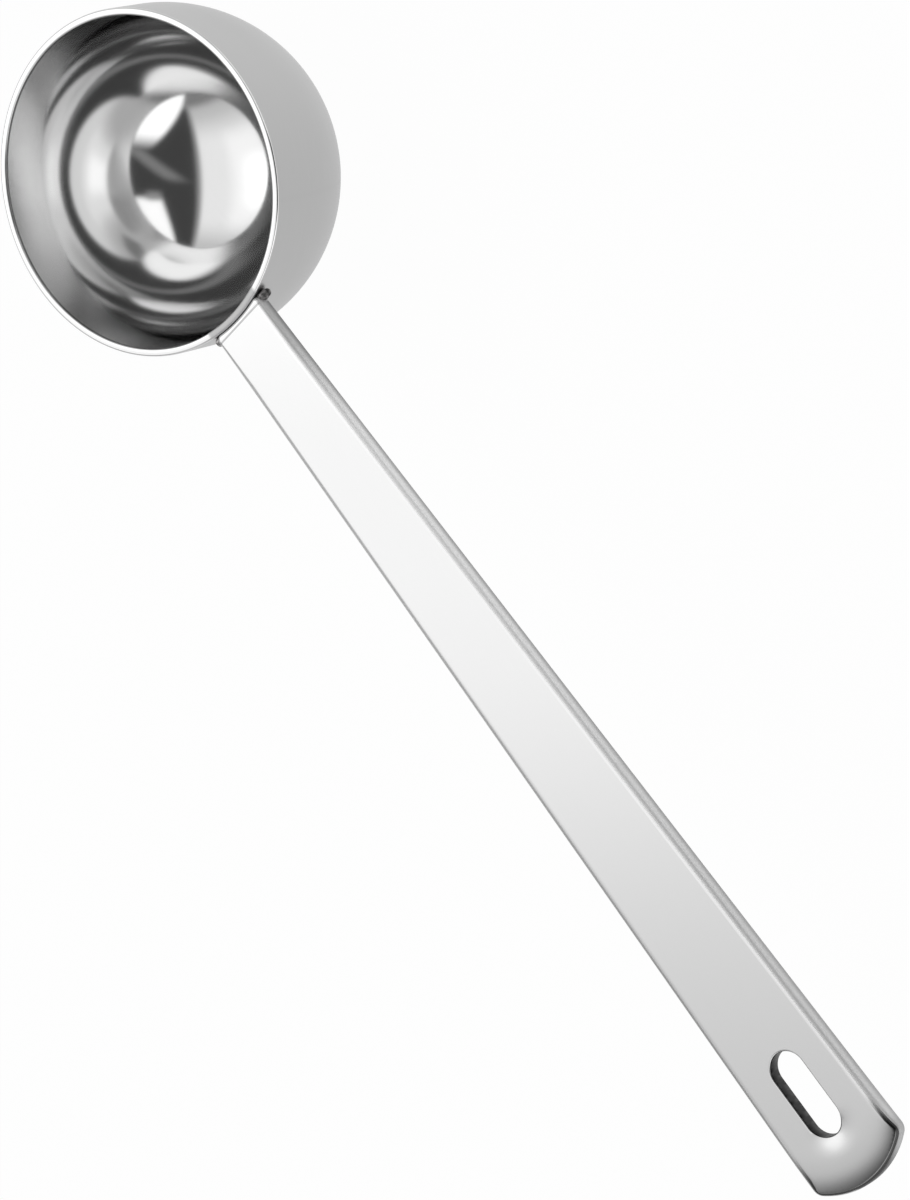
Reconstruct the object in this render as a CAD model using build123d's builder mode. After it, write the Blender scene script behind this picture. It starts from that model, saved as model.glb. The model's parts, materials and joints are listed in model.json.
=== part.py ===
"""Long-handled measuring spoon: a drawn steel cup with a solid bar handle tacked to its rim."""

import os
from math import pi, sqrt

from build123d import *

# All sizes are in millimetres. The rim lies in the XY plane with its centre at the origin,
# the mouth faces up, and the handle runs level with the rim towards -Y.

# Bowl: a deep-drawn cup, straight below the rim and a half ball under that
bowl_diameter = 45.0
bowl_sheet = 1.0
straight_wall = 6.5
rim_edge_round = 0.3

# Handle: a flat bar that widens towards its tip, with its edges rounded by polishing
handle_reach = 135.0
handle_thickness = 2.0
handle_width_at_bowl = 9.0
handle_width_at_tip = 15.8
face_edge_round = 0.6
back_edge_round = 0.3
tip_arc_radius = 12.5
tip_corner_round = 1.5
root_corner_round = 0.8

# Hanging slot: runs along the handle near its tip
slot_width = 5.0
slot_length = 12.0
slot_to_tip = 7.2
slot_edge_round = 0.25

# Weld tacks: one bead in each corner between the bar's end and the bowl
tack_radius = 1.0
tack_stand_off = 0.35
tack_length = 2.2
tack_top_depth = 0.25

# Places that follow from the sizes above
bowl_radius = bowl_diameter / 2
cavity_radius = bowl_radius - bowl_sheet
tip_y = -(bowl_radius + handle_reach)
tip_arc_depth = tip_arc_radius - sqrt(tip_arc_radius**2 - (handle_width_at_tip / 2) ** 2)
tip_corner_y = tip_y + tip_arc_depth
slot_center_y = tip_y + slot_to_tip + slot_length / 2


def half_width_at(y: float) -> float:
    """Half the handle's width at a place along it; both sides are straight lines."""
    along_share = (-y - bowl_radius) / (-tip_corner_y - bowl_radius)
    gain = handle_width_at_tip - handle_width_at_bowl
    return (handle_width_at_bowl + gain * along_share) / 2


# Bowl
with BuildPart() as bowl:
    with BuildSketch(Plane.XZ) as wall:
        with BuildLine():
            outside = Line((bowl_radius, 0), (bowl_radius, -straight_wall))
            outside_bottom = CenterArc((0, -straight_wall), bowl_radius, 0, -90)
            floor = Line(outside_bottom @ 1, (0, -straight_wall - cavity_radius))
            inside_bottom = CenterArc((0, -straight_wall), cavity_radius, -90, 90)
            inside = Line(inside_bottom @ 1, (cavity_radius, 0))
            Line(inside @ 1, outside @ 0)
        make_face()
        fillet(wall.vertices().group_by(Axis.Y)[-1], radius=rim_edge_round)
    revolve(axis=Axis.Z)

# Handle: its end is hollowed to the bowl's outside, so the bar seats against the wall
root_y = -bowl_radius / 2
root_half = half_width_at(root_y)
corner_half = handle_width_at_tip / 2
with BuildPart() as handle:
    with BuildSketch() as outline:
        with BuildLine():
            Line((root_half, root_y), (corner_half, tip_corner_y))
            ThreePointArc((corner_half, tip_corner_y), (0, tip_y), (-corner_half, tip_corner_y))
            Line((-corner_half, tip_corner_y), (-root_half, root_y))
            Line((-root_half, root_y), (root_half, root_y))
        make_face()
        fillet(outline.vertices().group_by(Axis.Y)[0], radius=tip_corner_round)
        Circle(bowl_radius, mode=Mode.SUBTRACT)
        fillet(outline.vertices().group_by(Axis.Y)[-1], radius=root_corner_round)
    extrude(amount=-handle_thickness)
    fillet(handle.faces().sort_by(Axis.Z)[-1].edges(), radius=face_edge_round)
    fillet(handle.faces().sort_by(Axis.Z)[0].edges(), radius=back_edge_round)
    with BuildSketch():
        with Locations((0, slot_center_y)):
            SlotOverall(slot_length, slot_width, rotation=90)
    extrude(amount=-handle_thickness, mode=Mode.SUBTRACT)
    slot_edges = handle.faces().filter_by(Axis.Z).edges().filter_by(
        lambda edge: abs(edge.center().Y - slot_center_y) < slot_length
        and abs(edge.center().X) < slot_width
    )
    fillet(slot_edges, radius=slot_edge_round)


def make_tack(side: int) -> Part:
    """One weld bead, standing in the corner between the bowl's wall and the bar's side."""
    bead_center_x = side * (half_width_at(-bowl_radius) + tack_stand_off)
    bead_center_y = -sqrt((bowl_radius + tack_stand_off) ** 2 - bead_center_x**2)
    bead_center_z = -(tack_top_depth + tack_length / 2)
    with BuildPart() as tack:
        with Locations((bead_center_x, bead_center_y, bead_center_z)):
            Cylinder(tack_radius, tack_length)
        fillet(tack.edges(), radius=tack_radius / 2)
        add(bowl.part, mode=Mode.SUBTRACT)
        add(handle.part, mode=Mode.SUBTRACT)
        with BuildSketch(Plane.XY.offset(-straight_wall)):
            Circle(cavity_radius)
        extrude(amount=straight_wall, mode=Mode.SUBTRACT)
    return tack.part


bowl.part.label = "bowl"
handle.part.label = "handle"
weld_right = make_tack(1)
weld_right.label = "weld_right"
weld_left = make_tack(-1)
weld_left.label = "weld_left"

# Capacity to the rim in cubic millimetres, printed in millilitres: it should be close to 30
half_ball_share = 2 / 3
mm3_per_ml = 1000
capacity_mm3 = pi * cavity_radius**2 * (straight_wall + half_ball_share * cavity_radius)
print(f"capacity {capacity_mm3 / mm3_per_ml:.1f} ml")

os.makedirs("parts", exist_ok=True)
for piece in (bowl.part, handle.part, weld_left, weld_right):
    export_step(piece, f"parts/{piece.label}.step")
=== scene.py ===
"""Measuring spoon: models and dresses the cup, the bar handle and the weld beads.

Lengths are in metres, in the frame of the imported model: the rim lies in the XY plane with its
centre at the origin, the mouth faces up and the handle runs towards -Y.
"""

import json
import logging
import math
from collections.abc import Callable
from dataclasses import dataclass, replace
from enum import Enum
from functools import cached_property, reduce

import bmesh
import bpy
from mathutils import Matrix, Vector


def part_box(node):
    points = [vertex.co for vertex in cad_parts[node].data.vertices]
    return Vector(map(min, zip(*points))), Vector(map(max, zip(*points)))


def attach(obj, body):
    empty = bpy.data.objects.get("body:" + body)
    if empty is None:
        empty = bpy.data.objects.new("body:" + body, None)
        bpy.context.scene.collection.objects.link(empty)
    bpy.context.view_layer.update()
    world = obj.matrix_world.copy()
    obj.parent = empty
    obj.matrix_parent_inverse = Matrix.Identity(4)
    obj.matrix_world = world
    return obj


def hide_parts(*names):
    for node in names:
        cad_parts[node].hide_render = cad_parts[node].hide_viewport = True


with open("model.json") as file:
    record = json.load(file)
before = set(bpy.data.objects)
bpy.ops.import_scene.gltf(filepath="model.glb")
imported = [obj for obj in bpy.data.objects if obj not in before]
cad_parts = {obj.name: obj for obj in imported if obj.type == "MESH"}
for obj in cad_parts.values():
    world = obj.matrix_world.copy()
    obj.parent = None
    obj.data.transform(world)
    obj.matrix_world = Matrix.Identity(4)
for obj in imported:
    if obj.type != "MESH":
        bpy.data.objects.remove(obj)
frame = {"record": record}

MM = 0.001
NEAR = 0.01 * MM
TINY = 0.001 * MM
NORMAL_WEIGHT = 50
LOG = logging.getLogger("measuring_spoon")

Piece = bpy.types.Object
Material = bpy.types.Material
Socket = bpy.types.NodeSocket
Span = tuple[float, float]
Triple = tuple[float, float, float]


class Side(Enum):
    """The two sides of the handle."""

    LEFT = -1
    RIGHT = 1


# Edit-mode helpers


def clear_selection() -> None:
    """Leave edit mode and deselect every object."""
    if bpy.context.object and bpy.context.object.mode != "OBJECT":
        leave_edit_mode()
    bpy.ops.object.select_all(action="DESELECT")


def make_active(piece: Piece) -> None:
    """Select one object alone and make it the active one.

    Args:
        piece: The object.
    """
    clear_selection()
    piece.select_set(True)
    bpy.context.view_layer.objects.active = piece


def apply_modifier(piece: Piece, kind: str, **settings: object) -> None:
    """Add a modifier, set it and apply it.

    Args:
        piece: The object that gets it.
        kind: The modifier's type, such as "SOLIDIFY".
        settings: Its properties by name.
    """
    make_active(piece)
    modifier = piece.modifiers.new(kind.title(), kind)
    for name, value in settings.items():
        setattr(modifier, name, value)
    bpy.ops.object.modifier_apply(modifier=modifier.name)


def edit_all(piece: Piece) -> None:
    """Enter edit mode with everything selected.

    Args:
        piece: The object to edit.
    """
    make_active(piece)
    bpy.ops.object.mode_set(mode="EDIT")
    bpy.ops.mesh.select_all(action="SELECT")


def leave_edit_mode() -> None:
    """Go back to object mode."""
    bpy.ops.object.mode_set(mode="OBJECT")


def select_where(piece: Piece, element: str, test: Callable[[object], bool]) -> None:
    """Enter edit mode with only the matching verts, edges or faces selected.

    Args:
        piece: The object to edit.
        element: "verts", "edges" or "faces".
        test: Called with each element, true where it is wanted.
    """
    make_active(piece)
    bpy.ops.object.mode_set(mode="EDIT")
    bpy.ops.mesh.select_mode(type=element[:-1].upper())
    bpy.ops.mesh.select_all(action="DESELECT")
    mesh = bmesh.from_edit_mesh(piece.data)
    for item in getattr(mesh, element):
        if test(item):
            item.select_set(True)
    mesh.select_flush_mode()
    bmesh.update_edit_mesh(piece.data)


def finish_mesh(piece: Piece, angle_deg: float = 40.0) -> None:
    """Merge doubles, point the faces outwards and shade smooth up to an angle.

    Args:
        piece: The object to finish.
        angle_deg: Edges sharper than this stay sharp.
    """
    edit_all(piece)
    bpy.ops.mesh.remove_doubles(threshold=TINY)
    bpy.ops.mesh.normals_make_consistent(inside=False)
    leave_edit_mode()
    bpy.ops.object.shade_smooth_by_angle(angle=math.radians(angle_deg))


def set_material(piece: Piece, material: Material) -> None:
    """Give an object one material, in place of any that it has."""
    piece.data.materials.clear()
    piece.data.materials.append(material)


# Outlines


@dataclass(frozen=True)
class OutlinePoint:
    """A point of a flat outline, with the direction that leads into the material there.

    The spread says how much wider than high the edge roundings are there.
    """

    place: Vector
    inward: Vector
    spread: float = 1.0

    def at(self, inset: float, height: float) -> Vector:
        """The point moved inwards by an inset and set at a height."""
        spot = self.place + self.inward * (inset * self.spread)
        return Vector((spot.x, spot.y, height))

    def mirrored(self) -> "OutlinePoint":
        """The same point on the other side of the Y axis."""
        flip = Vector((-1, 1))
        return replace(self, place=self.place * flip, inward=self.inward * flip)


def arc_points(
    center: Vector, radius: float, start: float, end: float, count: int, hollow: bool = False
) -> list[OutlinePoint]:
    """Points along an arc.

    Args:
        center: The arc's centre.
        radius: Its radius.
        start: First angle in radians.
        end: Last angle in radians.
        count: How many points, both ends included.
        hollow: True where the material lies outside the arc's circle.

    Returns:
        The points in order.
    """
    points = []
    for step in range(count):
        angle = start + (end - start) * step / (count - 1)
        spoke = Vector((math.cos(angle), math.sin(angle)))
        points.append(OutlinePoint(center + spoke * radius, spoke if hollow else -spoke))
    return points


def line_points(start: OutlinePoint, end: OutlinePoint, count: int) -> list[OutlinePoint]:
    """Points between the ends of a straight run, both ends left out."""
    shares = [step / (count + 1) for step in range(1, count + 1)]
    return [OutlinePoint(start.place.lerp(end.place, share), start.inward) for share in shares]


def prism_from_outline(name: str, outline: list[OutlinePoint], levels: list[Span]) -> Piece:
    """Stack copies of an outline into a closed solid, one extrusion for each level.

    Args:
        name: The object's name.
        outline: The outline's points, in order.
        levels: An inset and a height for each ring, from the bottom up.

    Returns:
        The solid, whose two ends are single faces.
    """
    clear_selection()
    bpy.ops.mesh.primitive_circle_add(vertices=len(outline), radius=MM, fill_type="NGON")
    piece = bpy.context.object
    piece.name = name
    inset, height = levels[0]
    for vert, point in zip(piece.data.vertices, outline):
        vert.co = point.at(inset, height)
    below = [point.at(inset, height) for point in outline]
    for inset, height in levels[1:]:
        make_active(piece)
        bpy.ops.object.mode_set(mode="EDIT")
        bpy.ops.mesh.select_mode(type="FACE")
        bpy.ops.mesh.extrude_region_move()
        mesh = bmesh.from_edit_mesh(piece.data)
        ring = [vert for vert in mesh.verts if vert.select]
        above = [point.at(inset, height) for point in outline]
        for vert in ring:
            nearest = min(range(len(below)), key=lambda index: (below[index] - vert.co).length)
            vert.co = above[nearest]
        bmesh.update_edit_mesh(piece.data)
        leave_edit_mode()
        below = above
    return piece


def rounded_levels(
    bottom: float, top: float, below: float, above: float, steps: int
) -> list[Span]:
    """Insets and heights of a wall whose lower and upper edges are rounded.

    Args:
        bottom: Height of the lower face.
        top: Height of the upper face.
        below: Radius at the lower edge.
        above: Radius at the upper edge.
        steps: Facets in each rounding.

    Returns:
        Pairs of inset and height, from the bottom up.
    """
    turns = [math.pi / 2 * step / steps for step in range(steps + 1)]
    lower = [(below * (1 - math.sin(turn)), bottom + below * (1 - math.cos(turn))) for turn in turns]
    upper = [(above * (1 - math.cos(turn)), top - above * (1 - math.sin(turn))) for turn in turns]
    return lower + upper


# Node helpers


@dataclass(frozen=True)
class Pattern:
    """Cloudy noise: how fine it is, how detailed, and how squeezed along each axis."""

    scale: float
    detail: float = 3.0
    squeeze: Triple = (1.0, 1.0, 1.0)


class NodeTree:
    """A short way to build a material's or the world's nodes."""

    def __init__(self, tree: bpy.types.NodeTree) -> None:
        """Start from an empty tree."""
        self.tree = tree
        self.tree.nodes.clear()

    def add(self, kind: str, **settings: object) -> bpy.types.Node:
        """Add a node.

        Args:
            kind: The node's type.
            settings: Its properties by name.

        Returns:
            The node.
        """
        node = self.tree.nodes.new(kind)
        for name, value in settings.items():
            setattr(node, name, value)
        return node

    def join(self, source: Socket, target: Socket) -> None:
        """Link two sockets."""
        self.tree.links.new(source, target)

    def make(self, kind: str, output: int | str, inputs: dict, **settings: object) -> Socket:
        """Add a node and fill its inputs.

        Args:
            kind: The node's type.
            output: Which of its outputs is wanted.
            inputs: A socket to link or a plain value, for each input by name or number.
            settings: Its properties by name.

        Returns:
            The wanted output.
        """
        node = self.add(kind, **settings)
        for key, value in inputs.items():
            if isinstance(value, Socket):
                self.join(value, node.inputs[key])
            else:
                node.inputs[key].default_value = value
        return node.outputs[output]

    def math(self, operation: str, *values: object, clamp: bool = False) -> Socket:
        """One step of arithmetic, its result kept between 0 and 1 where clamp is true."""
        inputs = dict(enumerate(values))
        return self.make("ShaderNodeMath", 0, inputs, operation=operation, use_clamp=clamp)

    def product(self, first: object, *factors: object) -> Socket:
        """Sockets or numbers multiplied one after another."""
        return reduce(lambda left, right: self.math("MULTIPLY", left, right), factors, first)

    def rest(self, share: Socket) -> Socket:
        """What a share leaves of 1."""
        return self.math("SUBTRACT", 1.0, share)

    def span(self, first: Socket, second: Socket) -> Socket:
        """The distance that two sides at a right angle span."""
        squares = self.math("ADD", self.product(first, first), self.product(second, second))
        return self.math("SQRT", squares)

    def ramp(self, value: Socket, low: float, high: float) -> Socket:
        """0 below a value, 1 above another, and a soft way between them."""
        inputs = {"Value": value, "From Min": low, "From Max": high}
        return self.make("ShaderNodeMapRange", "Result", inputs, interpolation_type="SMOOTHSTEP")

    def fade(self, value: Socket, low: float, high: float) -> Socket:
        """1 below a value, 0 above another, and a soft way between them."""
        return self.rest(self.ramp(value, low, high))

    def between(self, value: Socket, low: float, high: float, edge: float) -> Socket:
        """1 between two values, fading to 0 over an edge outside each."""
        return self.product(self.ramp(value, low - edge, low), self.fade(value, high, high + edge))

    def blend(self, factor: object, low: object, high: object) -> Socket:
        """A number that goes from one value to another as a factor goes from 0 to 1."""
        return self.make("ShaderNodeMix", 0, {0: factor, 2: low, 3: high}, data_type="FLOAT")

    def tint(self, factor: object, low: object, high: object) -> Socket:
        """A colour that goes from one to another as a factor goes from 0 to 1."""
        return self.make("ShaderNodeMix", 2, {0: factor, 6: low, 7: high}, data_type="RGBA")

    def noise(self, place: Socket, pattern: Pattern) -> Socket:
        """A pattern's value between 0 and 1 at a place."""
        place = self.make("ShaderNodeMapping", 0, {"Vector": place, "Scale": pattern.squeeze})
        inputs = {"Vector": place, "Scale": pattern.scale, "Detail": pattern.detail}
        return self.make("ShaderNodeTexNoise", 0, inputs)

    def dot(self, direction: Socket, axis: Vector) -> Socket:
        """The share of a direction that lies along an axis."""
        inputs = {0: direction, 1: axis}
        return self.make("ShaderNodeVectorMath", "Value", inputs, operation="DOT_PRODUCT")

    def axes(self, place: Socket) -> tuple[Socket, ...]:
        """The X, Y and Z sockets of a place."""
        split = self.add("ShaderNodeSeparateXYZ")
        self.join(place, split.inputs[0])
        return tuple(split.outputs)

    def bump(self, shader: bpy.types.Node, height: Socket, strength: float, depth: float) -> None:
        """Roughen a shader's surface with a pattern, whose highest and lowest lie a depth apart."""
        inputs = {"Strength": strength, "Distance": depth, "Height": height}
        self.join(self.make("ShaderNodeBump", 0, inputs), shader.inputs["Normal"])


def new_material(name: str) -> tuple[Material, NodeTree, Socket]:
    """Start a material.

    Args:
        name: Its name.

    Returns:
        The material, its nodes and the socket that takes its surface.
    """
    material = bpy.data.materials.new(name)
    material.use_nodes = True
    nodes = NodeTree(material.node_tree)
    return material, nodes, nodes.add("ShaderNodeOutputMaterial").inputs["Surface"]


@dataclass(frozen=True)
class SteelFinish:
    """A bare steel surface: how pale and how rough it is, and how deep its scratches go."""

    name: str
    tone: Triple
    roughness: float
    scratch_depth: float = 0.002 * MM

    def color(self, share: float = 1.0) -> tuple[float, float, float, float]:
        """The steel's colour, dimmed by a share, with full alpha."""
        red, green, blue = (channel * share for channel in self.tone)
        return (red, green, blue, 1.0)

    def mix(self, nodes: NodeTree, factor: Socket, low: float, high: float) -> Socket:
        """The steel's colour, going from one share to another as a factor goes from 0 to 1."""
        return nodes.tint(factor, self.color(low), self.color(high))

    def start(self) -> tuple[Material, NodeTree, bpy.types.Node, Socket]:
        """Start a metal material.

        Returns:
            The material, its nodes, its shader and the socket with the Object coordinates.
        """
        material, nodes, surface = new_material(self.name)
        shader = nodes.add("ShaderNodeBsdfPrincipled")
        shader.inputs["Metallic"].default_value = 1.0
        nodes.join(shader.outputs[0], surface)
        return material, nodes, shader, nodes.add("ShaderNodeTexCoord").outputs["Object"]


# The cup


@dataclass(frozen=True)
class CupLook:
    """Where the cup's finishes and its painted shade lie, how rough they are and how pale, as shares
    of its tone.

    Heights count from the rim's plane, and reaches are shares of the radius, away from the bar.
    """

    smudge: Pattern = Pattern(90.0, 4.0)
    smudge_roughness: float = 0.06
    streaks: Pattern = Pattern(900.0, 2.0, (0.2, 0.2, 6.0))
    streak_share: float = 0.12
    streak_bump: float = 0.15
    sheet_edge: float = 0.1 * MM
    rim_heights: Span = (-0.25 * MM, -0.1 * MM)
    brushed_below: float = 1.0 * MM
    brushed_above: float = 1.5 * MM
    brushed_roughness: float = 0.22
    satin_roughness: float = 0.4
    # The satin outside: its tone darkens towards the bar as painted shade.
    satin_and_shade_tones: Span = (0.59, 0.68)
    satin_shade_reaches: Span = (-0.8, 0.3)
    # Painted shade: a dark line on the inside, just below the rim.
    lip_shade_heights: Span = (-0.42 * MM, -0.14 * MM)
    lip_shade_edge: float = 0.08 * MM
    lip_shade: float = 0.3
    ground_sides: Span = (4.6 * MM, 5.2 * MM)
    ground_reaches: Span = (-0.8, -0.9)
    ground_roughness: float = 0.5
    ground: float = 0.7


@dataclass
class Cup:
    """The drawn steel cup: straight below the rim, then half a ball, the inside curving later."""

    low: Vector
    high: Vector
    sheet: float = 1.0 * MM
    inner_drop: float = 1.0 * MM
    rim_round: float = 0.3 * MM
    rim_facets: int = 5
    segments: int = 192
    rings: int = 96
    look: CupLook = CupLook()
    polished: SteelFinish = SteelFinish("cup_steel", (0.80, 0.80, 0.80), 0.09)

    @property
    def radius(self) -> float:
        """Outside radius of the mouth."""
        return (self.high.x - self.low.x) / 2

    @property
    def wall(self) -> float:
        """Height of the straight part."""
        return -self.low.z - self.radius

    def build(self) -> Piece:
        """Model the cup from a ball: cut it, draw its wall up, give it its sheet and flatten it.

        Returns:
            The finished cup, ready to ride.
        """
        clear_selection()
        bpy.ops.mesh.primitive_uv_sphere_add(
            segments=self.segments,
            ring_count=self.rings,
            radius=self.radius,
            location=(0, 0, -self.wall),
        )
        piece = bpy.context.object
        piece.name = "cup_shell"
        bpy.ops.object.transform_apply(location=True, rotation=True, scale=True)
        edit_all(piece)
        bpy.ops.mesh.bisect(
            plane_co=(0, 0, -self.wall), plane_no=(0, 0, 1), clear_outer=True, clear_inner=False
        )
        leave_edit_mode()
        floor_of_wall = -self.wall - NEAR
        select_where(piece, "edges", lambda edge: all(v.co.z > floor_of_wall for v in edge.verts))
        bpy.ops.mesh.extrude_region_move(TRANSFORM_OT_translate={"value": (0, 0, self.wall)})
        leave_edit_mode()
        finish_mesh(piece)
        apply_modifier(
            piece, "SOLIDIFY", thickness=self.sheet, offset=-1.0, use_even_offset=True, use_rim=True
        )
        self.flatten_inside(piece)
        select_where(piece, "edges", self.is_rim_edge)
        bpy.ops.mesh.bevel(offset=self.rim_round, segments=self.rim_facets, affect="EDGES")
        leave_edit_mode()
        finish_mesh(piece)
        apply_modifier(piece, "WEIGHTED_NORMAL", keep_sharp=True, weight=NORMAL_WEIGHT)
        set_material(piece, self.material())
        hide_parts("bowl")
        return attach(piece, "root")

    def flatten_inside(self, piece: Piece) -> None:
        """Start the inside's curve lower than the outside's, and keep the floor where it is.

        Args:
            piece: The cup.
        """
        middle = self.radius - self.sheet / 2
        cavity = self.radius - self.sheet
        for vert in piece.data.vertices:
            below = -self.wall - vert.co.z
            if below > -NEAR and math.hypot(vert.co.x, vert.co.y, below) < middle:
                vert.co.z = -self.wall - self.inner_drop - below * (1 - self.inner_drop / cavity)

    def is_rim_edge(self, edge: bmesh.types.BMEdge) -> bool:
        """Tell whether an edge is on one of the rim's two sharp circles.

        Args:
            edge: The edge.

        Returns:
            True where it is.
        """
        if any(vert.co.z < -NEAR for vert in edge.verts):
            return False
        reach = [vert.co.to_2d().length for vert in edge.verts]
        return abs(reach[0] - reach[1]) < NEAR

    def material(self) -> Material:
        """Mirror polish inside and on the rim, satin outside, matte and darker where the bar is
        welded on, with painted shade: the satin darker towards the bar and a dark line inside below
        the rim.

        Returns:
            The material.
        """
        finish = self.polished
        look = self.look
        material, nodes, shader, place = finish.start()
        across, along, up = nodes.axes(place)
        ball_height = nodes.math("MINIMUM", nodes.math("ADD", up, self.wall), 0.0)
        reach = nodes.span(nodes.span(across, along), ball_height)
        middle = self.radius - self.sheet / 2
        outside = nodes.ramp(reach, middle, middle + look.sheet_edge)
        on_rim = nodes.ramp(up, *look.rim_heights)
        satin = nodes.product(outside, nodes.rest(on_rim))
        ground = nodes.product(self.at_bar(nodes, across, along), on_rim)
        straight = self.wall + self.inner_drop
        brushed = nodes.ramp(up, -straight - look.brushed_below, -straight + look.brushed_above)
        rough = nodes.blend(brushed, finish.roughness, look.brushed_roughness)
        rough = nodes.blend(on_rim, rough, finish.roughness)
        rough = nodes.blend(satin, rough, look.satin_roughness)
        rough = nodes.blend(ground, rough, look.ground_roughness)
        smudge = nodes.math("SUBTRACT", nodes.noise(place, look.smudge), 0.5)
        rough = nodes.math("ADD", rough, nodes.product(smudge, look.smudge_roughness))
        nodes.join(rough, shader.inputs["Roughness"])
        # Painted shade: the satin goes darker towards the bar.
        near, far = (share * self.radius for share in look.satin_shade_reaches)
        satin_shaded = finish.mix(nodes, nodes.ramp(along, near, far), *look.satin_and_shade_tones)
        streaks = nodes.noise(place, look.streaks)
        streaked = nodes.product(nodes.math("SUBTRACT", streaks, 0.5), look.streak_share)
        tone = nodes.tint(nodes.math("ADD", satin, streaked, clamp=True), finish.color(), satin_shaded)
        # Painted shade: a dark line on the inside, just below the rim.
        lip_shade = nodes.between(up, *look.lip_shade_heights, look.lip_shade_edge)
        tone = nodes.tint(nodes.product(lip_shade, nodes.rest(outside)), tone, finish.color(look.lip_shade))
        tone = nodes.tint(ground, tone, finish.color(look.ground))
        nodes.join(tone, shader.inputs["Base Color"])
        nodes.bump(shader, streaks, look.streak_bump, finish.scratch_depth)
        return material

    def at_bar(self, nodes: NodeTree, across: Socket, along: Socket) -> Socket:
        """1 where the bar is welded on and 0 elsewhere, seen from above.

        Args:
            nodes: The material's nodes.
            across: Place across the bar.
            along: Place along the bar.

        Returns:
            The share's socket.
        """
        beside = nodes.fade(nodes.math("ABSOLUTE", across), *self.look.ground_sides)
        near, far = (share * -self.radius for share in self.look.ground_reaches)
        return nodes.product(beside, nodes.ramp(nodes.product(along, -1.0), near, far))


# The handle


@dataclass(frozen=True)
class BarLook:
    """Where the bar's finishes and its painted light and shade lie, how rough they are and how pale,
    as shares of its tone.

    Depths count downwards from the face, reaches outwards from the cup's middle, and runs
    inwards from the tip.
    """

    smudge: Pattern = Pattern(60.0, 4.0)
    smudge_roughness: float = 0.04
    lines: Pattern = Pattern(700.0, 2.0, (8.0, 0.15, 8.0))
    line_tones: Span = (0.98, 1.01)
    line_bump: float = 0.1
    back_heights: Span = (0.2 * MM, 0.05 * MM)
    matte_depths: Span = (0.02 * MM, 0.12 * MM)
    matte_roughness: float = 0.42
    matte_metal: float = 0.4
    # Painted shade where the face drops away at the tip.
    tip_fall_shade_depths: Span = (0.02 * MM, 0.5 * MM)
    tip_fall_shade: float = 0.25
    # Where the painted light and shade on the edges and sides change along and across the bar.
    root_reaches: Span = (26.0 * MM, 44.0 * MM)
    outer_reaches: Span = (50.0 * MM, 140.0 * MM)
    tip_run: Span = (3.5 * MM, 5.5 * MM)
    tip_side: Span = (2.5 * MM, 6.5 * MM)
    # Painted light and shade on the rounded edges and sides: darker at the root, lighter past it,
    # darker far out and darkest at the tip.
    edge_shade_depths: Span = (0.06 * MM, 0.2 * MM)
    edge_shade_tones: Span = (0.6, 1.04)
    edge_shade_outer: float = 0.8
    edge_shade_at_tip: Span = (0.1, 0.6)
    # Painted shade on the lower part of the sides.
    lower_shade_depths: Span = (0.6 * MM, 1.7 * MM)
    lower_shade_tones: Span = (0.28, 0.48)
    lower_shade_at_tip: Span = (0.1, 0.4)
    # Painted shade on the left edge.
    left_side: Span = (-3.0 * MM, -2.0 * MM)
    left_shade_depths: Span = (0.05 * MM, 0.12 * MM)
    left_shade_tones: Span = (0.75, 0.5)
    # Painted shade: a dark line along the tip's edge.
    tip_shade_line_run: Span = (4.0 * MM, 9.0 * MM)
    tip_shade_line_depths: Span = (0.016 * MM, 0.14 * MM)
    tip_shade_line_edge: float = 0.01 * MM
    tip_shade_line: float = 0.08
    weld_mark_sides: Span = (0.1 * MM, 0.16 * MM)
    weld_mark: float = 0.6
    slot_gaps: Span = (0.06 * MM, 0.16 * MM)
    # The slot's punched wall: rough, and painted nearly black as shade, streaked at random.
    raw_roughness: float = 0.45
    slot_wall_shade_depths: Span = (0.2 * MM, 1.8 * MM)
    slot_wall_shade_tones: Span = (0.01, 0.12)
    tears: Pattern = Pattern(1600.0, 3.0, (1.0, 1.0, 0.2))
    tear_levels: Span = (0.35, 0.65)
    torn: float = 0.05


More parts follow.
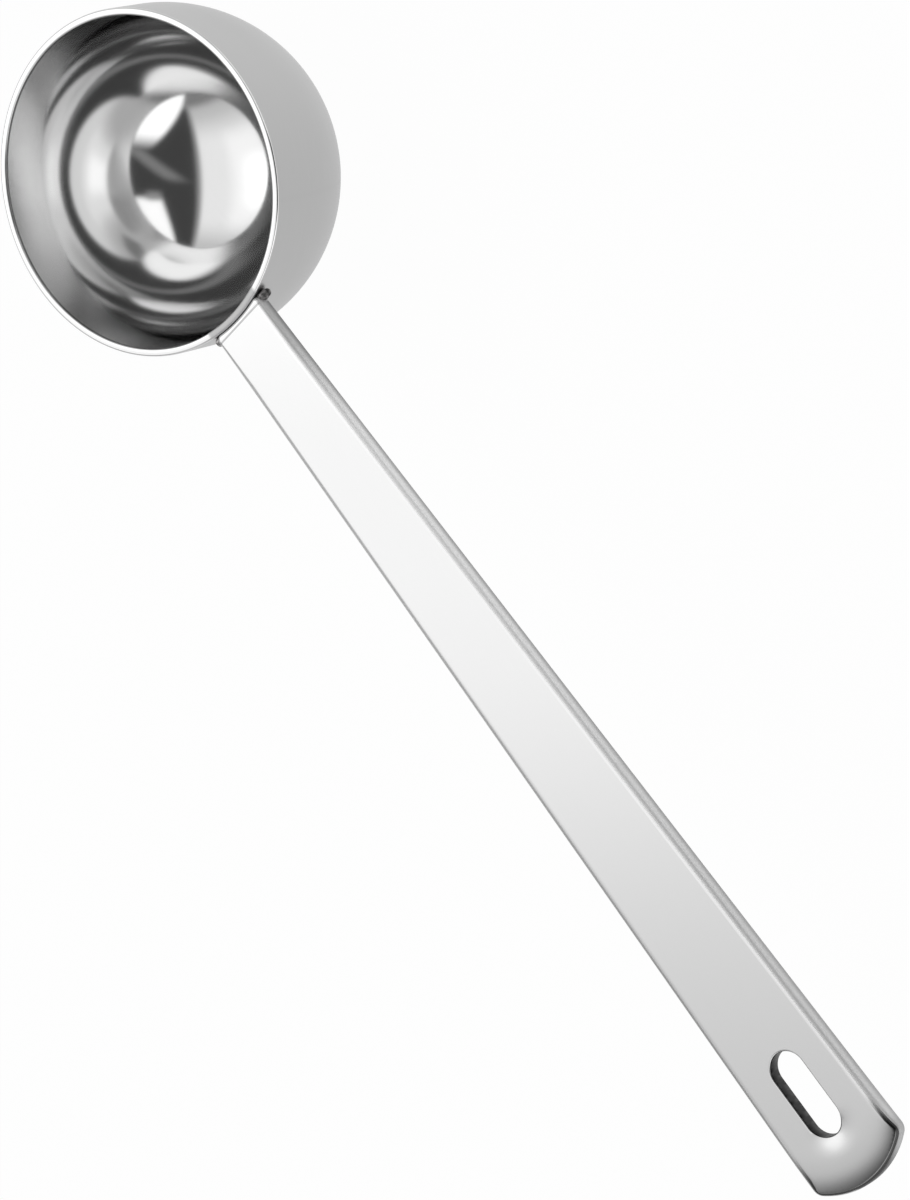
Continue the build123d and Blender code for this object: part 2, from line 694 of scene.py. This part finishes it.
@dataclass(frozen=True)
class BarSpot:
    """Where on the bar the shaded point lies, worked out by a material's nodes."""

    bar: "Handle"
    nodes: NodeTree
    across: Socket
    along: Socket
    up: Socket

    @cached_property
    def fall(self) -> Socket:
        """How far the face drops away at the tip.

        Returns:
            The drop's socket.
        """
        nodes = self.nodes
        bar = self.bar
        middle = bar.tip_y + bar.tip_arc
        spoke = nodes.span(self.across, nodes.math("SUBTRACT", self.along, middle))
        inset = nodes.math("SUBTRACT", bar.tip_arc, spoke)
        share = nodes.math("DIVIDE", inset, bar.roll_off_reach)
        share = nodes.math("SUBTRACT", 1.0, share, clamp=True)
        share = nodes.product(share, nodes.math("LESS_THAN", self.along, middle))
        fall = nodes.math("POWER", share, bar.roll_off_power)
        lean = nodes.product(self.across, bar.roll_off_lean / (bar.tip_width / 2))
        return nodes.product(fall, nodes.math("ADD", lean, 1.0), bar.roll_off_drop)

    @cached_property
    def dish(self) -> Socket:
        """How far the face dips at the slot's outer end.

        Returns:
            The dip's socket.
        """
        nodes = self.nodes
        bar = self.bar
        past = nodes.math("MAXIMUM", nodes.math("SUBTRACT", bar.slot_end, self.along), 0.0)
        spoke = nodes.span(self.across, past)
        clear = nodes.math("MAXIMUM", nodes.math("SUBTRACT", spoke, bar.slot_half_width), 0.0)
        share = nodes.math("DIVIDE", clear, bar.dish_reach)
        share = nodes.math("SUBTRACT", 1.0, share, clamp=True)
        facing = nodes.math("DIVIDE", past, nodes.math("MAXIMUM", spoke, NEAR))
        share = nodes.product(share, facing)
        return nodes.product(share, share, bar.dish_drop)

    @cached_property
    def depth(self) -> Socket:
        """How far the point lies below the bent face."""
        bend = self.nodes.math("ADD", self.fall, self.dish)
        return self.nodes.product(self.nodes.math("ADD", self.up, bend), -1.0)

    @cached_property
    def above_back(self) -> Socket:
        """1 above the bar's back and 0 on it."""
        far, near = (self.bar.thickness - height for height in self.bar.look.back_heights)
        return self.nodes.fade(self.depth, far, near)

    @cached_property
    def on_slot_wall(self) -> Socket:
        """1 on the slot's wall and 0 elsewhere.

        Returns:
            The share's socket.
        """
        nodes = self.nodes
        bar = self.bar
        off_middle = nodes.math("ABSOLUTE", nodes.math("SUBTRACT", self.along, bar.slot_place.y))
        straight = bar.slot_length / 2 - bar.slot_half_width
        past_end = nodes.math("MAXIMUM", nodes.math("SUBTRACT", off_middle, straight), 0.0)
        near, far = (bar.slot_half_width + gap for gap in bar.look.slot_gaps)
        return nodes.fade(nodes.span(self.across, past_end), near, far)

    def below(self, depths: Span) -> Socket:
        """1 on the bar's side, fading to 0 over two depths towards the face, and 0 on the back."""
        return self.nodes.product(self.nodes.ramp(self.depth, *depths), self.above_back)


@dataclass
class Handle:
    """The solid bar: flat, wider towards its tip, edges rounded, one hanging slot."""

    low: Vector
    high: Vector
    cup_radius: float
    slot_place: Vector
    slot_half_width: float
    slot_length: float
    root_width: float = 9.0 * MM
    tip_width: float = 15.8 * MM
    tip_arc: float = 12.5 * MM
    tip_corner: float = 1.5 * MM
    root_corner: float = 0.8 * MM
    face_round: float = 0.6 * MM
    back_round: float = 0.3 * MM
    slot_round: float = 0.25 * MM
    round_facets: int = 9
    slot_facets: int = 6
    root_points: int = 21
    root_corner_points: int = 9
    side_points: int = 120
    tip_corner_points: int = 11
    end_points: int = 33
    edge_spread: float = 1.9
    tip_spread: float = 0.9
    root_spread_run: float = 8.0 * MM
    tip_spread_start: float = 2.2 * MM
    tip_spread_run: float = 2.0 * MM
    bend_reach: float = 12.6 * MM
    bend_rows: int = 36
    roll_off_reach: float = 5.0 * MM
    roll_off_drop: float = 0.46 * MM
    roll_off_power: float = 2.2
    roll_off_lean: float = 0.35
    dish_reach: float = 2.7 * MM
    dish_drop: float = 0.42 * MM
    weld_line_y: float = -23.25 * MM
    weld_line_half: float = 0.2 * MM
    weld_line_depth: float = 0.035 * MM
    cutter_over: float = 0.5 * MM
    sharp_angle_deg: float = 35.0
    look: BarLook = BarLook()
    steel: SteelFinish = SteelFinish("bar_steel", (0.82, 0.82, 0.82), 0.12)

    @property
    def tip_y(self) -> float:
        """Where the handle ends."""
        return self.low.y

    @property
    def thickness(self) -> float:
        """The bar's thickness."""
        return self.high.z - self.low.z

    @property
    def slot_end(self) -> float:
        """Where the middle of the slot's outer round end lies along the bar."""
        return self.slot_place.y - self.slot_length / 2 + self.slot_half_width

    def outline(self) -> list[OutlinePoint]:
        """The bar's outline seen from above.

        Returns:
            Its points, counter-clockwise from the root's middle.
        """
        arc_depth = self.tip_arc - math.sqrt(self.tip_arc**2 - (self.tip_width / 2) ** 2)
        corner_y = self.tip_y + arc_depth
        top = Vector((self.root_width / 2, -self.cup_radius))
        bottom = Vector((self.tip_width / 2, corner_y))
        down = (bottom - top).normalized()
        origin = Vector((0, 0))
        root_center = self.corner_center(top, down, origin, self.cup_radius, True)
        tip_middle = Vector((0, self.tip_y + self.tip_arc))
        tip_center = self.corner_center(bottom, down, tip_middle, self.tip_arc, False)
        south = -math.pi / 2
        root_end = math.atan2(root_center.y, root_center.x)
        root = arc_points(origin, self.cup_radius, south, root_end, self.root_points, hollow=True)
        side_angle = math.atan2(down.x, -down.y)
        root_start = math.atan2(-root_center.y, -root_center.x)
        root_round = arc_points(
            root_center, self.root_corner, root_start, side_angle, self.root_corner_points
        )
        spoke = tip_center - tip_middle
        tip_angle = math.atan2(spoke.y, spoke.x)
        tip_round = arc_points(
            tip_center, self.tip_corner, side_angle, tip_angle, self.tip_corner_points
        )
        side = line_points(root_round[-1], tip_round[0], self.side_points)
        tip = arc_points(tip_middle, self.tip_arc, tip_angle, south, self.end_points)
        half = root + root_round[1:] + side + tip_round + tip[1:]
        half = [replace(point, spread=self.spread_at(point.place.y)) for point in half]
        return half + [point.mirrored() for point in reversed(half[1:-1])]

    def spread_at(self, y: float) -> float:
        """How much wider than high the edge roundings are.

        Args:
            y: A place along the bar.

        Returns:
            Width over height.
        """
        share = min(1.0, max(0.0, (-y - self.cup_radius) / self.root_spread_run))
        spread = 1.0 + (self.edge_spread - 1.0) * share
        past_tip = y - self.tip_y - self.tip_spread_start
        share = min(1.0, max(0.0, past_tip / self.tip_spread_run))
        return self.tip_spread + (spread - self.tip_spread) * share

    def corner_center(
        self, start: Vector, down: Vector, middle: Vector, radius: float, hollow: bool
    ) -> Vector:
        """Centre of the rounding between the bar's side and an end's arc.

        Args:
            start: A point on the side.
            down: The side's direction.
            middle: The arc's centre.
            radius: The arc's radius.
            hollow: True at the root, where the bar lies outside the arc.

        Returns:
            The rounding's centre.
        """
        size = self.root_corner if hollow else self.tip_corner
        reach = radius + size if hollow else radius - size
        inward = Vector((down.y, -down.x))
        base = start + inward * size - middle
        along = base.dot(down)
        off = math.sqrt(reach**2 - (base.length_squared - along**2))
        return middle + base + down * (off - along)

    def build(self) -> Piece:
        """Model the bar, groove its weld line, bend its tip and cut its slot.

        Returns:
            The finished handle, ready to ride.
        """
        levels = rounded_levels(
            self.low.z, self.high.z, self.back_round, self.face_round, self.round_facets
        )
        piece = prism_from_outline("bar_handle", self.outline(), levels)
        self.groove_weld_line(piece)
        self.cut_rows(piece)
        self.roll_off_tip(piece)
        cutter = self.slot_cutter()
        apply_modifier(piece, "BOOLEAN", object=cutter, operation="DIFFERENCE", solver="EXACT")
        bpy.data.objects.remove(cutter)
        finish_mesh(piece, self.sharp_angle_deg)
        apply_modifier(piece, "WEIGHTED_NORMAL", keep_sharp=True, weight=NORMAL_WEIGHT)
        set_material(piece, self.material())
        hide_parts("handle")
        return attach(piece, "root")

    def groove_weld_line(self, piece: Piece) -> None:
        """Sink the thin straight line that crosses the face just outside the bowl.

        Args:
            piece: The bar.
        """
        for side in (-1, 0, 1):
            place = self.weld_line_y + side * self.weld_line_half
            edit_all(piece)
            bpy.ops.mesh.bisect(plane_co=(0, place, 0), plane_no=(0, 1, 0))
        leave_edit_mode()
        for vert in piece.data.vertices:
            on_line = abs(vert.co.y - self.weld_line_y) < TINY
            if on_line and vert.co.z > self.high.z - TINY:
                vert.co.z -= self.weld_line_depth

    def cut_rows(self, piece: Piece) -> None:
        """Cut the faces into rows and columns near the tip, so that they can be bent there.

        Args:
            piece: The bar.
        """
        end = self.tip_y + self.bend_reach
        for row in range(self.bend_rows):
            height = self.tip_y + self.bend_reach * (row + 0.5) / self.bend_rows
            edit_all(piece)
            bpy.ops.mesh.bisect(plane_co=(0, height, 0), plane_no=(0, 1, 0))
        for column in range(self.bend_rows):
            place = self.tip_width * ((column + 0.5) / self.bend_rows - 0.5)
            select_where(piece, "faces", lambda face: face.calc_center_median().y < end)
            bpy.ops.mesh.bisect(plane_co=(place, 0, 0), plane_no=(1, 0, 0))
        leave_edit_mode()

    def roll_off_tip(self, piece: Piece) -> None:
        """Let the face fall away towards the tip's arc and dip at the slot's outer end.

        Args:
            piece: The bar.
        """
        middle = Vector((0, self.tip_y + self.tip_arc))
        slot_end = Vector((0, self.slot_end))
        for vert in piece.data.vertices:
            height_share = (vert.co.z - self.low.z) / self.thickness
            spoke = vert.co.to_2d() - middle
            if spoke.y < 0:
                share = max(0.0, 1 - (self.tip_arc - spoke.length) / self.roll_off_reach)
                lean = 1 + self.roll_off_lean * vert.co.x / (self.tip_width / 2)
                drop = self.roll_off_drop * lean * share**self.roll_off_power
                vert.co.z -= drop * height_share
            spoke = vert.co.to_2d() - slot_end
            if spoke.y < 0:
                clear = max(0.0, spoke.length - self.slot_half_width)
                share = max(0.0, 1 - clear / self.dish_reach) * -spoke.y / spoke.length
                vert.co.z -= self.dish_drop * share**2 * height_share

    def slot_cutter(self) -> Piece:
        """The shape that cuts the slot, flared where it leaves both faces.

        Returns:
            A closed solid, to be removed after its use.
        """
        reach = (self.slot_length - 2 * self.slot_half_width) / 2
        far = self.slot_place.to_2d() + Vector((0, reach))
        near = self.slot_place.to_2d() - Vector((0, reach))
        count = self.end_points
        upper = arc_points(far, self.slot_half_width, 0.0, math.pi, count)
        lower = arc_points(near, self.slot_half_width, math.pi, 2 * math.pi, count)
        flare = self.slot_round
        rounded = rounded_levels(self.low.z, self.high.z, flare, flare, self.slot_facets)
        levels = [
            (-flare, self.low.z - self.cutter_over),
            *((-inset, height) for inset, height in rounded),
            (-flare, self.high.z + self.cutter_over),
        ]
        cutter = prism_from_outline("slot_cutter", upper + lower, levels)
        finish_mesh(cutter)
        return cutter

    def material(self) -> Material:
        """Polished faces with fine lengthwise lines, rougher edges and a rough punched slot, with
        painted light and shade on the edges, the sides, the tip and the slot's wall.

        Returns:
            The material.
        """
        finish = self.steel
        look = self.look
        material, nodes, shader, place = finish.start()
        spot = BarSpot(self, nodes, *nodes.axes(place))
        raw_and_shaded_wall = spot.on_slot_wall
        matte = spot.below(look.matte_depths)
        smudge = nodes.product(nodes.noise(place, look.smudge), look.smudge_roughness)
        rough = nodes.math("ADD", finish.roughness, smudge)
        rough = nodes.blend(matte, rough, look.matte_roughness)
        nodes.join(nodes.blend(raw_and_shaded_wall, rough, look.raw_roughness), shader.inputs["Roughness"])
        metal = nodes.blend(nodes.product(matte, nodes.rest(raw_and_shaded_wall)), 1.0, look.matte_metal)
        nodes.join(metal, shader.inputs["Metallic"])
        lines = nodes.noise(place, look.lines)
        nodes.bump(shader, lines, look.line_bump, finish.scratch_depth)
        tone = finish.mix(nodes, lines, *look.line_tones)
        # Painted shade where the face drops away at the tip.
        tip_fall_shade = nodes.ramp(spot.fall, *look.tip_fall_shade_depths)
        tone = nodes.tint(tip_fall_shade, tone, finish.color(look.tip_fall_shade))
        # Painted light and shade on the edges and sides.
        tone = self.paint_edge_shade(spot, tone)
        off_line = nodes.math("ABSOLUTE", nodes.math("SUBTRACT", spot.along, self.weld_line_y))
        mark = nodes.fade(off_line, *look.weld_mark_sides)
        tone = nodes.tint(mark, tone, finish.color(look.weld_mark))
        # Painted shade: the slot's wall is painted nearly black, streaked at random.
        slot_wall_shade = finish.mix(nodes, nodes.ramp(spot.depth, *look.slot_wall_shade_depths), *look.slot_wall_shade_tones)
        torn = nodes.ramp(nodes.noise(place, look.tears), *look.tear_levels)
        slot_wall_shade = nodes.tint(torn, slot_wall_shade, finish.color(look.torn))
        nodes.join(nodes.tint(raw_and_shaded_wall, tone, slot_wall_shade), shader.inputs["Base Color"])
        return material

    def paint_edge_shade(self, spot: BarSpot, tone: Socket) -> Socket:
        """Lay painted light and shade on the rounded edges and the sides over the face's tone.

        Args:
            spot: Where on the bar the point lies.
            tone: The face's tone.

        Returns:
            The tone with them.
        """
        finish = self.steel
        look = self.look
        nodes = spot.nodes
        reach = nodes.product(spot.along, -1.0)
        run = nodes.math("SUBTRACT", spot.along, self.tip_y)
        past_root = nodes.ramp(reach, *look.root_reaches)
        outer = nodes.ramp(reach, *look.outer_reaches)
        at_tip = nodes.fade(run, *look.tip_run)
        tip_side = nodes.ramp(spot.across, *look.tip_side)
        # Painted light and shade on the rounded edges, changing along the bar and darkest at the
        # tip.
        edge_shade = finish.mix(nodes, past_root, *look.edge_shade_tones)
        edge_shade = nodes.tint(outer, edge_shade, finish.color(look.edge_shade_outer))
        edge_shade = nodes.tint(at_tip, edge_shade, finish.mix(nodes, tip_side, *look.edge_shade_at_tip))
        tone = nodes.tint(spot.below(look.edge_shade_depths), tone, edge_shade)
        # Painted shade on the left edge.
        on_left = nodes.fade(spot.across, *look.left_side)
        left = nodes.product(spot.below(look.left_shade_depths), on_left)
        tone = nodes.tint(left, tone, finish.mix(nodes, outer, *look.left_shade_tones))
        # Painted shade: a dark line along the tip's edge.
        tip_shade_line = nodes.between(spot.depth, *look.tip_shade_line_depths, look.tip_shade_line_edge)
        tip_shade_line = nodes.product(tip_shade_line, nodes.fade(run, *look.tip_shade_line_run))
        tone = nodes.tint(tip_shade_line, tone, finish.color(look.tip_shade_line))
        # Painted shade on the lower part of the sides.
        lower_shade = finish.mix(nodes, past_root, *look.lower_shade_tones)
        lower_shade = nodes.tint(at_tip, lower_shade, finish.mix(nodes, tip_side, *look.lower_shade_at_tip))
        return nodes.tint(spot.below(look.lower_shade_depths), tone, lower_shade)


# The weld beads


@dataclass
class WeldBead:
    """One lumpy bead in the corner between the bar and the cup."""

    side: Side
    low: Vector
    high: Vector
    subdivisions: int = 5
    plumpness: float = 0.88
    ripple: float = 0.1
    waves_up: float = 5200.0
    waves_across: float = 4300.0
    wave_start: float = 1.0
    dark_patches: Pattern = Pattern(900.0)
    dark_patch_levels: Span = (0.35, 0.65)
    dark_patch_roughness: Span = (0.55, 0.3)
    pits: Pattern = Pattern(2500.0, 2.0)
    pit_bump: float = 0.5
    pit_depth: float = 0.05 * MM
    steel: SteelFinish = SteelFinish("weld_metal", (0.34, 0.33, 0.33), 0.4)

    @property
    def fullness(self) -> float:
        """How far the bead fills its box: the left one is the smaller spot."""
        return 0.98 if self.side is Side.RIGHT else 0.82

    @property
    def tone_shares(self) -> Span:
        """Its darkest and its palest tone: the right one is the darker."""
        return (0.05, 0.8) if self.side is Side.RIGHT else (0.4, 1.5)

    def build(self) -> Piece:
        """Model the bead as an uneven blob that fills its corner.

        Returns:
            The finished bead, ready to ride.
        """
        word = self.side.name.lower()
        center = (self.low + self.high) / 2
        half = (self.high - self.low) / 2
        clear_selection()
        bpy.ops.mesh.primitive_ico_sphere_add(
            subdivisions=self.subdivisions, radius=1.0, location=(0, 0, 0)
        )
        piece = bpy.context.object
        piece.name = f"weld_bead_{word}"
        edit_all(piece)
        bpy.ops.transform.resize(value=tuple(half * self.fullness))
        bpy.ops.transform.translate(value=tuple(center))
        leave_edit_mode()
        for vert in piece.data.vertices:
            ray = vert.co - center
            wave = math.sin(ray.z * self.waves_up + self.side.value)
            wave *= math.sin(ray.x * self.waves_across + self.wave_start)
            vert.co = center + ray * (self.plumpness + self.ripple * wave)
        finish_mesh(piece)
        set_material(piece, self.material())
        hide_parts(f"weld_{word}")
        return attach(piece, "root")

    def material(self) -> Material:
        """Dull weld metal, darker in cloudy patches.

        Returns:
            The material.
        """
        finish = self.steel
        material, nodes, shader, place = finish.start()
        material.name = f"{finish.name}_{self.side.name.lower()}"
        patch = nodes.ramp(nodes.noise(place, self.dark_patches), *self.dark_patch_levels)
        nodes.join(finish.mix(nodes, patch, *self.tone_shares), shader.inputs["Base Color"])
        nodes.join(nodes.blend(patch, *self.dark_patch_roughness), shader.inputs["Roughness"])
        nodes.bump(shader, nodes.noise(place, self.pits), self.pit_bump, self.pit_depth)
        return material


# The studio


@dataclass(frozen=True)
class ViewPoint:
    """Where the photograph was taken from, and how its frame was set."""

    azimuth_deg: float = -20.732
    elevation_deg: float = 53.683
    roll_deg: float = -109.354
    distance: float = 600 * MM
    focal_per_distance: float = 7.796
    frame_width_px: float = 910.0
    frame_height_px: float = 1200.0
    mouth_x_px: float = 136.091
    mouth_y_px: float = 183.354
    sensor_mm: float = 36.0
    clip: Span = (10 * MM, 20.0)

    @property
    def towards(self) -> Vector:
        """The way from the mouth to the camera.

        Returns:
            A direction of length 1.
        """
        azimuth = math.radians(self.azimuth_deg)
        elevation = math.radians(self.elevation_deg)
        flat = math.cos(elevation)
        return Vector((flat * math.cos(azimuth), flat * math.sin(azimuth), math.sin(elevation)))

    @property
    def axes(self) -> tuple[Vector, Vector, Vector]:
        """The directions that the picture is seen in.

        Returns:
            The picture's right, the picture's up and the way back to the viewer.
        """
        back = self.towards
        right = (-back).cross(Vector((0, 0, 1))).normalized()
        up = right.cross(-back)
        roll = math.radians(self.roll_deg)
        picture_right = right * math.cos(roll) + up * math.sin(roll)
        picture_up = up * math.cos(roll) - right * math.sin(roll)
        return picture_right, picture_up, back

    def place_camera(self) -> Piece:
        """Create the camera and make it the scene's.

        Returns:
            The camera.
        """
        right, up, back = self.axes
        focal_px = self.focal_per_distance * self.distance / MM
        mouth_right = (self.mouth_x_px - self.frame_width_px / 2) / focal_px * self.distance
        mouth_up = -(self.mouth_y_px - self.frame_height_px / 2) / focal_px * self.distance
        spot = back * self.distance - right * mouth_right - up * mouth_up
        data = bpy.data.cameras.new("view")
        data.sensor_fit = "VERTICAL"
        data.sensor_height = self.sensor_mm
        data.lens = focal_px / self.frame_height_px * self.sensor_mm
        data.clip_start, data.clip_end = self.clip
        camera = bpy.data.objects.new("view", data)
        turn = Matrix((right, up, back)).transposed().to_4x4()
        camera.matrix_world = Matrix.Translation(spot) @ turn
        bpy.context.collection.objects.link(camera)
        bpy.context.scene.camera = camera
        return camera


@dataclass(frozen=True)
class Patch:
    """A soft-edged area of the light tent, placed by angles seen from the cup's mouth.

    The angles start from the way to the photograph's viewpoint and turn towards the
    picture's right and up. The lean is how far the area shifts right for each degree up.
    """

    right_deg: float
    up_deg: float
    half_wide_deg: float
    half_high_deg: float
    side_fade_deg: float
    end_fade_deg: float
    strength: float
    lean: float = 0.0

    def lay(self, nodes: NodeTree, turn_right: Socket, turn_up: Socket, level: object) -> Socket:
        """Lay the patch over the glow so far.

        Args:
            nodes: The tent's nodes.
            turn_right: Degrees to the picture's right.
            turn_up: Degrees up.
            level: The glow before it.

        Returns:
            The glow with it.
        """
        above = nodes.math("SUBTRACT", turn_up, self.up_deg)
        middle = nodes.math("ADD", nodes.product(above, self.lean), self.right_deg)
        off_right = nodes.math("ABSOLUTE", nodes.math("SUBTRACT", turn_right, middle))
        off_up = nodes.math("ABSOLUTE", above)
        wide = nodes.fade(off_right, self.half_wide_deg, self.half_wide_deg + self.side_fade_deg)
        high = nodes.fade(off_up, self.half_high_deg, self.half_high_deg + self.end_fade_deg)
        return nodes.blend(nodes.product(wide, high), level, self.strength)


PATCHES = {
    "softbox": Patch(-58, -2, 33, 24, 4, 26, 0.98),
    "softbox middle": Patch(-70, -2, 18, 22, 12, 14, 1.13),
    "softbox core": Patch(-76, 0, 8, 6, 20, 16, 1.5),
    "left shade": Patch(-115, 0, 14.5, 40, 8, 14, 0.53),
    "left corner": Patch(-116, -40, 14, 16, 10, 10, 0.38),
    "dark room": Patch(9.3, 0, 26.3, 52, 9, 10, 0.06),
    "dark strip": Patch(-46, -63, 26, 5, 10, 8, 0.24),
    "upper lamp": Patch(17.5, 35.2, 17, 22.8, 6, 6, 1.25, lean=-0.35),
    "lower lamp": Patch(8, -58, 22, 20, 8, 16, 1.35, lean=1.0),
    "dim streak": Patch(12, -14, 1, 7, 12, 8, 0.24, lean=-1.55),
    "dim spot": Patch(12, 8, 2, 0, 7, 6, 0.3),
    "side panel": Patch(54, -8, 12, 22, 6, 14, 1.3),
}


@dataclass
class Studio:
    """The floor, the light tent, the world and the camera."""

    floor_height: float
    view_point: ViewPoint = ViewPoint()
    floor_size: float = 3.0
    floor_tone: float = 0.86
    floor_glow: float = 0.97
    tent_radius: float = 420 * MM
    tent_segments: int = 64
    tent_rings: int = 32
    fill: float = 0.6
    patches: tuple[Patch, ...] = tuple(PATCHES.values())

    def build(self) -> None:
        """Set the colour management, then build the camera, the floor, the tent and the world."""
        bpy.context.scene.view_settings.view_transform = "Standard"
        self.view_point.place_camera()
        self.build_floor()
        self.build_tent()
        self.build_world()

    def build_floor(self) -> Piece:
        """Build a wide pale floor under the cup.

        Returns:
            The floor.
        """
        clear_selection()
        bpy.ops.mesh.primitive_plane_add(size=self.floor_size, location=(0, 0, self.floor_height))
        floor = bpy.context.object
        floor.name = "floor"
        material, nodes, surface = new_material("pale_floor")
        seen = nodes.product(self.seen_rays(nodes), self.floor_glow)
        tone = self.floor_tone
        paint = nodes.make("ShaderNodeBsdfDiffuse", 0, {"Color": (tone, tone, tone, 1.0)})
        glow = nodes.make("ShaderNodeEmission", 0, {"Strength": 1.0})
        nodes.join(nodes.make("ShaderNodeMixShader", 0, {0: seen, 1: paint, 2: glow}), surface)
        set_material(floor, material)
        return floor

    def build_tent(self) -> Piece:
        """Build a glowing tent with bright and dark areas, unseen by the camera.

        Returns:
            The tent.
        """
        clear_selection()
        bpy.ops.mesh.primitive_uv_sphere_add(
            segments=self.tent_segments,
            ring_count=self.tent_rings,
            radius=self.tent_radius,
            location=(0, 0, 0),
        )
        tent = bpy.context.object
        tent.name = "light_tent"
        edit_all(tent)
        bpy.ops.mesh.bisect(
            plane_co=(0, 0, self.floor_height), plane_no=(0, 0, 1), clear_inner=True
        )
        leave_edit_mode()
        set_material(tent, self.tent_material())
        tent.visible_camera = False
        return tent

    def tent_material(self) -> Material:
        """The tent's glow: an even fill with its patches laid over it in order.

        Returns:
            The material.
        """
        material, nodes, surface = new_material("tent_glow")
        place = nodes.add("ShaderNodeTexCoord").outputs["Object"]
        direction = nodes.make("ShaderNodeVectorMath", 0, {0: place}, operation="NORMALIZE")
        right, up, back = (nodes.dot(direction, axis) for axis in self.view_point.axes)
        turn_right = nodes.math("DEGREES", nodes.math("ARCTAN2", right, back))
        turn_up = nodes.math("DEGREES", nodes.math("ARCSINE", up))
        level: object = self.fill
        for patch in self.patches:
            level = patch.lay(nodes, turn_right, turn_up, level)
        nodes.join(nodes.make("ShaderNodeEmission", 0, {"Strength": level}), surface)
        return material

    def build_world(self) -> None:
        """Set a plain white world behind the floor."""
        world = bpy.data.worlds.new("surroundings")
        bpy.context.scene.world = world
        world.use_nodes = True
        nodes = NodeTree(world.node_tree)
        surface = nodes.add("ShaderNodeOutputWorld").inputs["Surface"]
        level = nodes.blend(self.seen_rays(nodes), self.fill, 1.0)
        nodes.join(nodes.make("ShaderNodeBackground", 0, {"Strength": level}), surface)

    @staticmethod
    def seen_rays(nodes: NodeTree) -> Socket:
        """1 for what the camera sees directly, in metal or through glass, and 0 for the rest.

        Args:
            nodes: The nodes of the material or world that asks.

        Returns:
            The share's socket.
        """
        path = nodes.add("ShaderNodeLightPath").outputs
        mirrored = nodes.math("MAXIMUM", path["Is Camera Ray"], path["Is Glossy Ray"])
        return nodes.math("MAXIMUM", mirrored, path["Is Transmission Ray"])


def main() -> None:
    """Build the spoon and its studio in order."""
    logging.basicConfig(level=logging.INFO, format="%(message)s")
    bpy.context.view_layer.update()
    cup_low, cup_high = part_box("bowl")
    bar_low, bar_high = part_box("handle")
    mounts = {mount["name"]: mount for mount in frame["record"]["mounts"]}
    slot = mounts["hanging_slot"]
    cup = Cup(cup_low, cup_high)
    handle = Handle(
        bar_low,
        bar_high,
        cup.radius,
        Vector(slot["pos_m"]),
        slot["dims"]["hole_r_mm"] * MM,
        slot["dims"]["slot_length_mm"] * MM,
    )
    beads = [WeldBead(side, *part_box(f"weld_{side.name.lower()}")) for side in Side]
    for builder in (cup, handle, *beads):
        piece = builder.build()
        LOG.info("%s: %d faces", piece.name, len(piece.data.polygons))
    Studio(cup_low.z).build()


if __name__ == "__main__":
    main()
